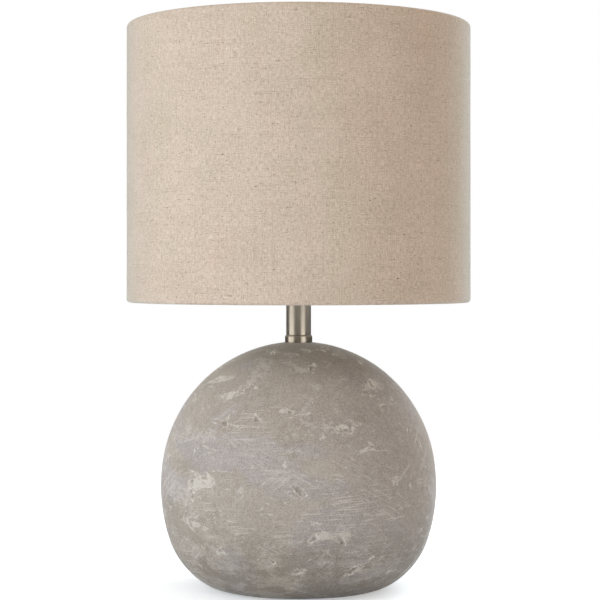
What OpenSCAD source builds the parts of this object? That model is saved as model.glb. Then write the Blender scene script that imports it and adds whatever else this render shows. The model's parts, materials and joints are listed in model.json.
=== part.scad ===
// Table lamp with a drum shade.
// A hollow cast concrete ball stands on a felt pad. A threaded pipe through its crown carries
// a brushed nickel neck, a harp saddle and a medium screw socket with a turn key. The harp
// holds a spider and a hardback linen drum under a finial.
// Millimetres. Z is up, the lamp stands on z = 0, and its axis is the Z axis.
// The harp lies in the XZ plane, the key points to -Y and the cord outlet to +Y.

/* [Concrete ball] */
// Radius of the arc over the crown
crown_radius = 101.2; // [99:0.1:103]
// Radius of the fuller arc round the side
side_radius = 122; // [116:1:130]
// Radius of the arc that turns the side in towards the foot
haunch_radius = 58.5; // [54:0.5:64]
// Radius of the arc that meets the flat underside
foot_radius = 26.5; // [24:0.5:29]
// Angle above level where the crown arc becomes the side arc
crown_angle = 15; // [12:0.5:18]
// Angle below level where the side arc becomes the haunch arc
haunch_angle = 18.5; // [16:0.5:21]
// Angle below level where the haunch arc becomes the foot arc
foot_angle = 58; // [54:1:62]
// Thickness of the cast wall
wall = 15; // [13:0.5:17]
// Radius of the hand hole in the underside
hand_hole_radius = 36; // [30:1:40]
// Radius of the felt pad
felt_radius = 52; // [48:1:54]
// Thickness of the felt pad
felt_thickness = 2; // [1.5:0.1:3]
// How far the felt pad stands proud of the concrete
felt_proud = 0.8; // [0.5:0.1:1]

/* [Cord outlet] */
// Height of the cord outlet's centre
outlet_height = 30; // [28:1:34]
// Radius of the hole for the cord
outlet_bore_radius = 3.6; // [3:0.1:4]

/* [Neck] */
// Outer radius of the threaded pipe
pipe_radius = 5; // [4.8:0.1:5.2]
// Bore radius of the threaded pipe
pipe_bore_radius = 3.25; // [3:0.05:3.5]
// Radius of the collar on the ball
collar_radius = 10.1; // [9.6:0.1:11]
// Height of the collar
collar_height = 5.6; // [4:0.1:7]
// Outer radius of the neck tube
neck_radius = 9.2; // [8.6:0.1:9.5]
// Height of the neck tube
neck_height = 31; // [28:1:34]

/* [Socket and bulb] */
// Outer radius of the socket shell
shell_radius = 16.5; // [16.5:0.1:17]
// Height of the socket shell
shell_height = 46; // [45:0.5:47]
// Outer radius of the bulb's screw base
screw_base_radius = 13; // [12.9:0.05:13.1]
// Pitch of the bulb's screw thread
screw_pitch = 3.6; // [3.4:0.05:3.7]
// Radius of the bulb's globe
globe_radius = 30; // [29:0.5:31]

/* [Harp] */
// Radius of the harp's wire
harp_wire_radius = 2; // [1.8:0.1:2.1]
// Half the width of the harp at its widest
harp_half_width = 52; // [50:0.5:54]
// Height of the harp's top above the saddle
harp_height = 176; // [175:0.5:178]
// Angle of the flare above the harp's legs
flare_angle = 35; // [30:1:40]

/* [Shade] */
// Outer diameter of the shade
shade_diameter = 254; // [250:1:258]
// Height of the shade
shade_height = 204.5; // [200:0.5:208]
// Height of the shade's lower rim above the table
shade_clearance = 210.4; // [209.5:0.1:211.5]
// Thickness of the linen
linen = 0.6; // [0.5:0.05:0.7]
// Thickness of the stiff liner behind the linen
liner = 0.5; // [0.4:0.05:0.6]
// Radius of the wire in the rings and the spider
ring_wire = 1.4; // [1.2:0.1:1.5]

/* [Hidden] */
$fn = 96;

// Clearances: between bodies, in a running fit, and between pieces of one body
body_gap = 0.3;
running_gap = 0.05;
seat_gap = 0.05;

// Centres of the ball's four arcs, from the underside upwards, as [radius, height]
foot_height = felt_proud + foot_radius;
haunch_height = foot_height + (haunch_radius - foot_radius) * sin(foot_angle);
side_height = haunch_height + (side_radius - haunch_radius) * sin(haunch_angle);
crown_centre = [0, side_height + (side_radius - crown_radius) * sin(crown_angle)];
side_centre = [(crown_radius - side_radius) * cos(crown_angle), side_height];
haunch_centre = [
    side_centre[0] + (side_radius - haunch_radius) * cos(haunch_angle),
    haunch_height,
];
foot_centre = [
    haunch_centre[0] + (haunch_radius - foot_radius) * cos(foot_angle),
    foot_height,
];

// Ball seat, crown boss and clamp
seat_height = crown_centre[1] + crown_radius - 0.6;
boss_radius = 18;
boss_height = seat_height - 22;
clamp_washer_thickness = 2;
clamp_nut_height = 5;
pipe_bottom = boss_height - 11;

// Distance from the lamp's axis to the spot face that the grommet's flange sits on
outlet_spot_face = 90.2;

// Stack on the pipe
neck_bottom = seat_height + collar_height;
neck_top = neck_bottom + neck_height;
top_cap_height = 3.5;
saddle_bottom = neck_top + top_cap_height;
saddle_thickness = 1.5;
saddle_top = saddle_bottom + saddle_thickness;
saddle_nut_height = 3.5;
socket_bottom = saddle_top + saddle_nut_height;
pipe_top = socket_bottom + 7;

// Socket
cap_rim = socket_bottom + 17;
shell_bottom = cap_rim - 5;
shell_top = shell_bottom + shell_height;
shell_wall = 0.7;
body_bottom = shell_bottom + 1;
body_top = body_bottom + 18;
body_radius = 14.4;
body_flat = 12.4;
switch_height = cap_rim + 5;
switch_shaft_radius = 2;
rotor_radius = 5.4;
rotor_front = -9;
rotor_back = 3;
key_front = -44;
key_back = -24;

// Bulb
contact_bottom = body_top + 1.6 + body_gap;
screw_bottom = contact_bottom + 3.2;
screw_turns = 6;
screw_top = screw_bottom + (screw_turns + 0.5) * screw_pitch;
thread_depth = 0.4;
flare_radius = 47;
housing_radius = screw_base_radius + 0.2;
globe_meets = acos((flare_radius + housing_radius) / (flare_radius + globe_radius));
housing_straight = 2.3;
flare_centre = [flare_radius + housing_radius, screw_top + housing_straight];
globe_height = flare_centre[1] + (flare_radius + globe_radius) * sin(globe_meets);
bulb_wall = 1.5;

// Harp
leg_x = 33.4;
leg_bottom = saddle_top + body_gap;
leg_top = saddle_top + 33;
flare_bend = (harp_half_width - leg_x) / (2 * (1 - cos(flare_angle)));
harp_crown = saddle_bottom + harp_height;
harp_waist = leg_top + 2 * flare_bend * sin(flare_angle);
ear_inner = 29.5;
ear_outer = 31;
ear_height = 15;
sleeve_x = (ear_inner + leg_x + harp_wire_radius) / 2;
sleeve_radius = 4.9;
sleeve_bore_radius = 4.2;
sleeve_height = 16.5;
plate_half_length = 8;
plate_thickness = 4;
journal_radius = 2.5;
stud_radius = 3.17;

// Spider and shade
stud_seat = harp_crown + plate_thickness / 2 + body_gap;
stud_flange = 2;
hub_bottom = stud_seat + stud_flange + body_gap;
hub_thickness = 2;
hub_radius = 12;
shade_radius = shade_diameter / 2;
shade_bottom = shade_clearance;
shade_top = shade_bottom + shade_height;
liner_outer = shade_radius - linen - seat_gap;
liner_inner = liner_outer - liner;
ring_radius = liner_inner - seat_gap - ring_wire;
rim_roll = shade_radius - ring_radius;
roll_angle = 160;
top_ring_height = shade_top - rim_roll;
bottom_ring_height = shade_bottom + rim_roll;
arm_height = hub_bottom + hub_thickness / 2;
arm_bend_radius = 104;
stud_top = hub_bottom + hub_thickness + 11.5;
finial_bottom = hub_bottom + hub_thickness + body_gap;
finial_knob_radius = 7;
finial_knob_height = finial_bottom + 12.8;

// Colours
concrete_grey = [0.64, 0.61, 0.57];
nickel = [0.72, 0.69, 0.64];
steel = [0.62, 0.62, 0.63];
brass = [0.76, 0.62, 0.33];
black_plastic = [0.09, 0.09, 0.09];
white_plastic = [0.93, 0.93, 0.91];

// Points along an arc, from one angle to another
function arc(centre, radius, from, to, steps) =
    [for (i = [0:steps])
        let (a = from + (to - from) * i / steps)
        centre + radius * [cos(a), sin(a)]];

// Half outline of the ball, set in by the given amount, without its point on the axis below
function ball_outline(inset) = concat(
    arc(crown_centre, crown_radius - inset, 90, crown_angle, 15),
    arc(side_centre, side_radius - inset, crown_angle - 4, -haunch_angle, 7),
    arc(haunch_centre, haunch_radius - inset, -haunch_angle - 6, -foot_angle, 6),
    arc(foot_centre, foot_radius - inset, -foot_angle - 8, -90, 4),
    [[0, felt_proud + inset]]
);

// Solid of revolution between two radii
module ring(outer, inner, bottom, height) {
    translate([0, 0, bottom])
        difference() {
            cylinder(r = outer, h = height);
            translate([0, 0, -1])
                cylinder(r = inner, h = height + 2);
        }
}

// Hexagon nut, measured across its flats
module hex_nut(across, bore, bottom, height) {
    translate([0, 0, bottom])
        difference() {
            cylinder(r = across / sqrt(3), h = height, $fn = 6);
            translate([0, 0, -1])
                cylinder(r = bore, h = height + 2);
        }
}

// Torus round the Z axis
module wire_ring(radius, height) {
    translate([0, 0, height])
        rotate_extrude()
            translate([radius, 0])
                circle(r = ring_wire);
}

// Round wire along a path in the XZ plane, with ends cut square
module bent_wire(path, radius) {
    sides = 12;
    last = len(path) - 1;
    function tangent(i) = path[min(i + 1, last)] - path[max(i - 1, 0)];
    function across(i) = [-tangent(i)[1], tangent(i)[0]] / norm(tangent(i));
    function corner(i, k) = i * sides + k % sides;
    polyhedron(
        points = [for (i = [0:last], k = [0:sides - 1])
            let (
                offset = radius * cos(360 * k / sides) * across(i),
                point = path[i] + offset
            )
            [point[0], radius * sin(360 * k / sides), point[1]]],
        faces = concat(
            [[for (k = [0:sides - 1]) corner(0, k)]],
            [[for (k = [sides - 1:-1:0]) corner(last, k)]],
            [for (i = [0:last - 1], k = [0:sides - 1])
                [corner(i, k), corner(i + 1, k), corner(i + 1, k + 1)]],
            [for (i = [0:last - 1], k = [0:sides - 1])
                [corner(i, k), corner(i + 1, k + 1), corner(i, k + 1)]]
        )
    );
}

// Lays a piece that was made along Z along +Y, at a height
module along_y(height) {
    translate([0, 0, height])
        rotate([-90, 0, 0])
            children();
}

module concrete_base() {
    color(concrete_grey)
        difference() {
            rotate_extrude()
                polygon(ball_outline(0));
            difference() {
                rotate_extrude()
                    polygon(ball_outline(wall));
                translate([0, 0, boss_height])
                    cylinder(r = boss_radius, h = 2 * wall);
            }
            translate([0, 0, seat_height])
                cylinder(r = collar_radius + 3, h = wall);
            translate([0, 0, boss_height - 1])
                cylinder(r = pipe_radius + body_gap, h = 2 * wall);
            cylinder(r = felt_radius + body_gap, h = felt_thickness + seat_gap);
            cylinder(r = hand_hole_radius, h = 2 * wall);
            along_y(outlet_height)
                translate([0, 0, wall])
                    cylinder(r = outlet_bore_radius + 1.4, h = crown_radius);
            along_y(outlet_height)
                translate([0, 0, outlet_spot_face])
                    cylinder(r = outlet_bore_radius + 3, h = wall);
        }
}

module base_felt_pad() {
    color([0.16, 0.15, 0.14])
        cylinder(r = felt_radius, h = felt_thickness);
}

module cord_grommet() {
    inner_end = 68.6;
    shoulder = outlet_spot_face + seat_gap;
    flange_face = shoulder + 1.55;
    barrel = outlet_bore_radius + 1.3;
    flange = outlet_bore_radius + 2.6;
    lip = outlet_bore_radius + 2.2;
    color(black_plastic)
        along_y(outlet_height)
            rotate_extrude()
                polygon([
                    [outlet_bore_radius, inner_end], [barrel, inner_end],
                    [lip, inner_end + 0.8], [lip, inner_end + 1.6], [barrel, inner_end + 2],
                    [barrel, shoulder], [flange, shoulder], [flange, flange_face - 0.6],
                    [flange - 0.6, flange_face], [outlet_bore_radius, flange_face],
                ]);
}

module clamp_washer() {
    color(steel)
        ring(15, pipe_radius + 0.2, boss_height - clamp_washer_thickness, clamp_washer_thickness);
}

module clamp_nut() {
    bottom = boss_height - clamp_washer_thickness - clamp_nut_height;
    color(brass)
        hex_nut(17, pipe_radius + seat_gap, bottom, clamp_nut_height);
}

module threaded_pipe() {
    color(steel)
        ring(pipe_radius, pipe_bore_radius, pipe_bottom, pipe_top - pipe_bottom);
}

module neck_collar() {
    edge = 1.6;
    color(nickel)
        rotate_extrude()
            polygon(concat(
                [[pipe_radius + 0.1, seat_height], [collar_radius - 0.3, seat_height]],
                [[collar_radius, seat_height + 0.3]],
                arc([collar_radius - edge, neck_bottom - edge], edge, 0, 90, 6),
                [[pipe_radius + 0.1, neck_bottom]]
            ));
}

module neck_tube() {
    color(nickel)
        ring(neck_radius, neck_radius - 1, neck_bottom, neck_height);
}

module neck_top_cap() {
    spigot = neck_radius - 1 - seat_gap;
    rim = neck_radius + 1;
    color(nickel)
        rotate_extrude()
            polygon([
                [pipe_radius + 0.1, neck_top - 3], [spigot, neck_top - 3], [spigot, neck_top],
                [rim, neck_top], [rim, saddle_bottom - 0.8], [rim - 0.8, saddle_bottom],
                [pipe_radius + 0.1, saddle_bottom],
            ]);
}

module harp_saddle() {
    reach = 31.5;
    end_radius = 5;
    ear_width = 5;
    color(nickel)
        difference() {
            union() {
                translate([-reach, -end_radius, saddle_bottom])
                    cube([2 * reach, 2 * end_radius, saddle_thickness]);
                for (side = [-1, 1]) {
                    translate([side * reach, 0, saddle_bottom])
                        cylinder(r = end_radius, h = saddle_thickness);
                    translate([side * (ear_inner + ear_outer) / 2, 0, saddle_bottom + ear_height / 2])
                        cube([ear_outer - ear_inner, ear_width, ear_height], center = true);
                }
                translate([0, 0, saddle_bottom])
                    cylinder(r = 9.5, h = saddle_thickness);
            }
            translate([0, 0, saddle_bottom - 1])
                cylinder(r = pipe_radius + 0.2, h = saddle_thickness + 2);
        }
}

module saddle_nut() {
    color(steel)
        hex_nut(14, pipe_radius + seat_gap, saddle_top, saddle_nut_height);
}

module socket_cap() {
    rim = shell_radius + 0.8;
    sheet = 0.7;
    hub = 8;
    dome = rim - hub;
    spring = socket_bottom + 3.5 + dome;
    color(nickel)
        difference() {
            rotate_extrude()
                polygon(concat(
                    [[pipe_radius + seat_gap, socket_bottom], [hub, socket_bottom]],
                    [[hub, spring - dome]],
                    arc([hub, spring], dome, -84, 0, 7),
                    [[rim, cap_rim], [rim - sheet, cap_rim]],
                    arc([hub, spring], dome - sheet, 0, -84, 7),
                    [[hub - 1, spring - dome + sheet], [hub - 1, pipe_top + 0.5]],
                    [[pipe_radius + seat_gap, pipe_top + 0.5]]
                ));
            translate([0, 0, socket_bottom + 1.75])
                rotate([0, 90, 0])
                    cylinder(r = 1.1, h = 2 * hub);
        }
}

module socket_set_screw() {
    color(steel)
        translate([0, 0, socket_bottom + 1.75])
            rotate([0, 90, 0])
                difference() {
                    translate([0, 0, pipe_radius + seat_gap])
                        cylinder(r = 1.05, h = 5);
                    translate([-0.25, -2, pipe_radius + 4.4])
                        cube([0.5, 4, 2]);
                }
}

// Straight tube round the socket with a hole for the switch shaft
module socket_sleeve(outer, thickness, bottom, top, shaft_hole) {
    difference() {
        ring(outer, outer - thickness, bottom, top - bottom);
        translate([0, 0, switch_height])
            rotate([90, 0, 0])
                cylinder(r = shaft_hole, h = 2 * outer);
    }
}

module socket_shell() {
    color(nickel)
        union() {
            socket_sleeve(shell_radius, shell_wall, shell_bottom, shell_top - 0.8, 3.6);
            ring(shell_radius + 0.4, shell_radius - shell_wall, shell_top - 0.8, 0.8);
        }
}

module socket_shell_liner() {
    color([0.55, 0.47, 0.36])
        socket_sleeve(
            shell_radius - shell_wall - 0.1, 0.7, shell_bottom, shell_top - 1.5, 3.2
        );
}

module socket_body() {
    color(black_plastic)
        difference() {
            translate([0, 0, body_bottom])
                cylinder(r = body_radius, h = body_top - body_bottom);
            for (side = [-1, 1]) {
                translate([side * (body_flat + 5), 0, body_bottom + 8])
                    cube([10, 40, 12], center = true);
                translate([0, 0, body_bottom + 8])
                    rotate([0, side * 90, 0])
                        translate([0, 0, 8])
                            cylinder(r = 1.55, h = 10);
            }
            along_y(switch_height)
                translate([0, 0, rotor_front - 0.4])
                    cylinder(r = rotor_radius + 0.5, h = rotor_back - rotor_front + 0.8);
            along_y(switch_height)
                translate([0, 0, -body_radius - 1])
                    cylinder(r = switch_shaft_radius + running_gap, h = body_radius);
        }
}

module socket_screw_shell() {
    outer = screw_base_radius + 0.95;
    color(brass)
        union() {
            ring(outer, screw_base_radius + 0.35, body_top + 0.3, 24.5);
            ring(outer, 9, body_top, 0.6);
        }
}

module socket_center_contact() {
    color(brass)
        union() {
            translate([0, 0, body_top])
                cylinder(r = 6, h = 0.6);
            translate([0, 0, body_top + 0.5])
                cylinder(r = 4, h = 1.1);
        }
}

module terminal_screws() {
    for (side = [-1, 1])
        color(brass)
            translate([0, 0, body_bottom + 8])
                rotate([0, side * 90, 0])
                    difference() {
                        union() {
                            translate([0, 0, 8.5])
                                cylinder(r = 1.5, h = body_flat - 8);
                            translate([0, 0, body_flat + seat_gap])
                                cylinder(r = 3, h = 1.2);
                        }
                        translate([-4, -0.4, body_flat + 0.8])
                            cube([8, 0.8, 2]);
                    }
}

module switch_rotor() {
    color([0.75, 0.72, 0.66])
        along_y(switch_height)
            difference() {
                translate([0, 0, rotor_front])
                    cylinder(r = rotor_radius, h = rotor_back - rotor_front);
                translate([0, 0, rotor_front - 1])
                    cylinder(r = switch_shaft_radius + seat_gap, h = 9);
                for (quarter = [0:3])
                    rotate([0, 0, 90 * quarter])
                        translate([3.6, -0.7, rotor_back - 5])
                            cube([4, 1.4, 6]);
            }
}

module switch_shaft() {
    color(brass)
        along_y(switch_height)
            translate([0, 0, key_back - 8])
                cylinder(r = switch_shaft_radius, h = rotor_front + 7.5 - key_back + 8);
}

module switch_key() {
    grip_half = 10;
    grip_thickness = 3.6;
    corner = 4;
    color(black_plastic)
        difference() {
            union() {
                along_y(switch_height)
                    translate([0, 0, key_front + 10])
                        cylinder(r = 3.6, h = key_back - key_front - 10);
                translate([0, 0, switch_height - grip_thickness / 2]) {
                    translate([-grip_half, key_front + corner, 0])
                        cube([2 * grip_half, 8, grip_thickness]);
                    translate([corner - grip_half, key_front, 0])
                        cube([2 * (grip_half - corner), 8 + 2 * corner, grip_thickness]);
                    for (x = [-1, 1], y = [0, 8])
                        translate([x * (grip_half - corner), key_front + corner + y, 0])
                            cylinder(r = corner, h = grip_thickness);
                }
            }
            along_y(switch_height)
                translate([0, 0, key_back - 9])
                    cylinder(r = switch_shaft_radius + seat_gap, h = 12);
        }
}

module bulb_center_contact() {
    color(steel)
        union() {
            translate([0, 0, contact_bottom])
                cylinder(r = 3.4, h = 1);
            translate([0, 0, contact_bottom + 0.5])
                cylinder(r = 4.4, h = 1.5);
        }
}

module bulb_base_insulator() {
    color(black_plastic)
        rotate_extrude()
            polygon([
                [4.5, contact_bottom + 0.8], [5.6, contact_bottom + 0.8], [11.6, screw_bottom],
                [11.6, screw_bottom + 1.5], [4.5, screw_bottom + 1.5],
            ]);
}

module bulb_screw_base() {
    steps = 8;
    root = screw_base_radius - thread_depth;
    last = screw_turns * steps;
    function height_at(i) = screw_bottom + i * screw_pitch / steps;
    function radius_at(i) = root - thread_depth * cos(360 * i / steps);
    color(steel)
        rotate_extrude()
            polygon(concat(
                [for (i = [0:last]) [radius_at(i), height_at(i)]],
                [[radius_at(last), screw_top], [radius_at(last) - 0.5, screw_top]],
                [for (i = [last:-1:0]) [radius_at(i) - 0.5, height_at(i)]]
            ));
}

module bulb_housing() {
    first = 180;
    last = 180 - globe_meets;
    color(white_plastic)
        rotate_extrude()
            polygon(concat(
                [[housing_radius - bulb_wall, screw_top + seat_gap]],
                [[housing_radius, screw_top + seat_gap]],
                arc(flare_centre, flare_radius, first, last, 8),
                arc(flare_centre, flare_radius + bulb_wall, last, first, 8)
            ));
}

module bulb_led_board() {
    color([0.85, 0.86, 0.87])
        translate([0, 0, flare_centre[1] + 24.5])
            cylinder(r = 17.5, h = 1.5);
}

module bulb_leds() {
    color([0.98, 0.86, 0.45])
        for (i = [0:11])
            rotate([0, 0, 30 * i])
                translate([11, -1.5, flare_centre[1] + 26])
                    cube([3, 3, 0.8]);
}

module bulb_diffuser() {
    centre = [0, globe_height];
    first = 0.3 - globe_meets;
    color([0.97, 0.96, 0.93])
        rotate_extrude()
            polygon(concat(
                arc(centre, globe_radius, first, 90, 24),
                arc(centre, globe_radius - bulb_wall, 90, first, 24)
            ));
}

// Points of one side of the harp, from its foot to the plate on its top
function harp_path() =
    let (
        lower_bend = [leg_x + flare_bend, leg_top],
        upper_bend = [harp_half_width - flare_bend, harp_waist],
        corner_radius = harp_half_width - plate_half_length - 2,
        corner = [harp_half_width - corner_radius, harp_crown - corner_radius]
    )
    concat(
        [[leg_x, leg_bottom]],
        arc(lower_bend, flare_bend, 180, 180 - flare_angle, 6),
        arc(upper_bend, flare_bend, -flare_angle, 0, 6),
        arc(corner, corner_radius, 0, 90, 14),
        [[plate_half_length, harp_crown]]
    );

module harp_wire(side) {
    color(nickel)
        mirror([side < 0 ? 1 : 0, 0, 0])
            bent_wire(harp_path(), harp_wire_radius);
}

module harp_top_plate() {
    half_width = 5;
    corner = 1.5;
    color(nickel)
        translate([0, 0, harp_crown - plate_thickness / 2])
            difference() {
                union() {
                    translate([-plate_half_length, corner - half_width, 0])
                        cube([2 * plate_half_length, 2 * (half_width - corner), plate_thickness]);
                    translate([corner - plate_half_length, -half_width, 0])
                        cube([2 * (plate_half_length - corner), 2 * half_width, plate_thickness]);
                    for (x = [-1, 1], y = [-1, 1])
                        translate([x * (plate_half_length - corner), y * (half_width - corner), 0])
                            cylinder(r = corner, h = plate_thickness);
                }
                translate([0, 0, -1])
                    cylinder(r = journal_radius + running_gap, h = plate_thickness + 2);
            }
}

module harp_sleeve(side) {
    color(nickel)
        translate([side * sleeve_x, 0, 0])
            ring(sleeve_radius, sleeve_bore_radius, saddle_top + body_gap, sleeve_height);
}

module harp_stud() {
    rivet_top = harp_crown - plate_thickness / 2 - body_gap;
    color(brass)
        union() {
            translate([0, 0, rivet_top - 1.5])
                cylinder(r = 4.2, h = 1.5);
            translate([0, 0, rivet_top - 0.5])
                cylinder(r = journal_radius, h = stud_seat - rivet_top + 1);
            translate([0, 0, stud_seat])
                cylinder(r = 7, h = stud_flange);
            translate([0, 0, stud_seat + 1])
                cylinder(r = stud_radius, h = stud_top - stud_seat - 1);
        }
}

module spider_hub() {
    color(nickel)
        ring(hub_radius, 4, hub_bottom, hub_thickness);
}

// Arm of the spider, from the hub's edge out and up to the top ring
module spider_arm(direction) {
    ring_centre = [ring_radius, top_ring_height];
    bend_radius = 12;
    slope = atan2(ring_centre[1] - arm_height, ring_radius - arm_bend_radius);
    bend_centre = [arm_bend_radius, arm_height + bend_radius];
    color(nickel)
        rotate([0, 0, direction])
            difference() {
                bent_wire(
                    concat(
                        [[hub_radius - 2, arm_height]],
                        arc(bend_centre, bend_radius, -90, slope - 90, 4),
                        [ring_centre]
                    ),
                    ring_wire
                );
                translate([0, 0, arm_height - 5])
                    cylinder(r = hub_radius, h = 10);
                translate([ring_centre[0], 0, ring_centre[1]])
                    rotate([90, 0, 0])
                        cylinder(r = ring_wire + seat_gap, h = 10, center = true);
            }
}

module shade_top_ring() {
    color(nickel)
        wire_ring(ring_radius, top_ring_height);
}

module shade_bottom_ring() {
    color(nickel)
        wire_ring(ring_radius, bottom_ring_height);
}

module shade_liner() {
    color([0.97, 0.96, 0.93])
        ring(liner_outer, liner_inner, bottom_ring_height, top_ring_height - bottom_ring_height);
}

module shade_fabric() {
    top = [ring_radius, top_ring_height];
    bottom = [ring_radius, bottom_ring_height];
    inner_roll = rim_roll - linen;
    color([0.81, 0.75, 0.68])
        rotate_extrude()
            polygon(concat(
                arc(bottom, rim_roll, -roll_angle, 0, 12),
                arc(top, rim_roll, 0, roll_angle, 12),
                arc(top, inner_roll, roll_angle, 0, 12),
                arc(bottom, inner_roll, 0, -roll_angle, 12)
            ));
}

module finial() {
    foot = 7;
    waist = 4.6;
    waist_angle = acos(waist / finial_knob_radius);
    color(nickel)
        difference() {
            rotate_extrude()
                polygon(concat(
                    [[0, finial_bottom], [foot - 0.5, finial_bottom], [foot, finial_bottom + 0.5]],
                    [[foot, finial_bottom + 1.6], [foot - 0.6, finial_bottom + 2.2]],
                    [[waist, finial_bottom + 3.2]],
                    arc([0, finial_knob_height], finial_knob_radius, -waist_angle, 90, 16)
                ));
            translate([0, 0, finial_bottom - 1])
                cylinder(r = stud_radius + 0.08, h = stud_top - finial_bottom + 2);
        }
}

concrete_base();
base_felt_pad();
cord_grommet();
clamp_washer();
clamp_nut();
threaded_pipe();
neck_collar();
neck_tube();
neck_top_cap();
harp_saddle();
saddle_nut();
socket_cap();
socket_set_screw();
socket_shell();
socket_shell_liner();
socket_body();
socket_screw_shell();
socket_center_contact();
terminal_screws();
switch_rotor();
switch_shaft();
switch_key();
bulb_center_contact();
bulb_base_insulator();
bulb_screw_base();
bulb_housing();
bulb_led_board();
bulb_leds();
bulb_diffuser();
harp_wire(-1);  // harp_wire_left
harp_wire(1);  // harp_wire_right
harp_top_plate();
harp_sleeve(-1);  // harp_sleeve_left
harp_sleeve(1);  // harp_sleeve_right
harp_stud();
spider_hub();
spider_arm(90);  // spider_arm_back
spider_arm(210);  // spider_arm_left
spider_arm(330);  // spider_arm_right
shade_top_ring();
shade_bottom_ring();
shade_liner();
shade_fabric();
finial();
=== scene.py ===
"""Looks of the table lamp: the concrete ball, its nickel neck, the socket, bulb and harp, and the linen drum.

Metres throughout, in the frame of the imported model. The lamp stands on z = 0, its axis is the Z axis and the
camera looks along +Y.
"""

import json
import math
import random
from collections import namedtuple
from contextlib import contextmanager

import bmesh
import bpy
import numpy as np
from mathutils import Matrix, Vector, kdtree, noise

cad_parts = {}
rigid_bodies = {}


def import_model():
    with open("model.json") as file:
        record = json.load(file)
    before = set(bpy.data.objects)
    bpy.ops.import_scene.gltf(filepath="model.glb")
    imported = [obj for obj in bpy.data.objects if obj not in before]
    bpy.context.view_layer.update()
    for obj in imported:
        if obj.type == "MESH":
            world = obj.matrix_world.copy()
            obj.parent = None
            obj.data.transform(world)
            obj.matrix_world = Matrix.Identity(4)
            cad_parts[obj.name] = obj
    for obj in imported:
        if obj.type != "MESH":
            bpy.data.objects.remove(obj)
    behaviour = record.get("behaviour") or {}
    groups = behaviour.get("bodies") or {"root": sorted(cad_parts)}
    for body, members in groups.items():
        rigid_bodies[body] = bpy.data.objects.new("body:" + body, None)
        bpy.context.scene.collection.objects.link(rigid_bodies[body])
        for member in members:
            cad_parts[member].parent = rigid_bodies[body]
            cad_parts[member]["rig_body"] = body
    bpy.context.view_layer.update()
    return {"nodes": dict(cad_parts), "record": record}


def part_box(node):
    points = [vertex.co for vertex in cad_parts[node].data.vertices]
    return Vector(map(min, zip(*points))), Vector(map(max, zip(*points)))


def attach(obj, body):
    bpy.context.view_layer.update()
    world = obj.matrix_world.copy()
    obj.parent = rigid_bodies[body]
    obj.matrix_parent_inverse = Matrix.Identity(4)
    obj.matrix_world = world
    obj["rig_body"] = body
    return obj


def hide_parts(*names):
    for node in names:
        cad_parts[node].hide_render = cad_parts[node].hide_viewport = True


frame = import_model()
SLOTS = {row["node"]: row["material_slot"] for row in frame["record"]["subparts"]}
BODIES = {node: part["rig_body"] for node, part in frame["nodes"].items()}


def srgb(red, green, blue):
    """Linear colour from display values of 0 to 255."""
    shares = [value / 255 for value in (red, green, blue)]
    linear = [s / 12.92 if s <= 0.04045 else ((s + 0.055) / 1.055) ** 2.4 for s in shares]
    return (*linear, 1.0)


# Materials


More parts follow.
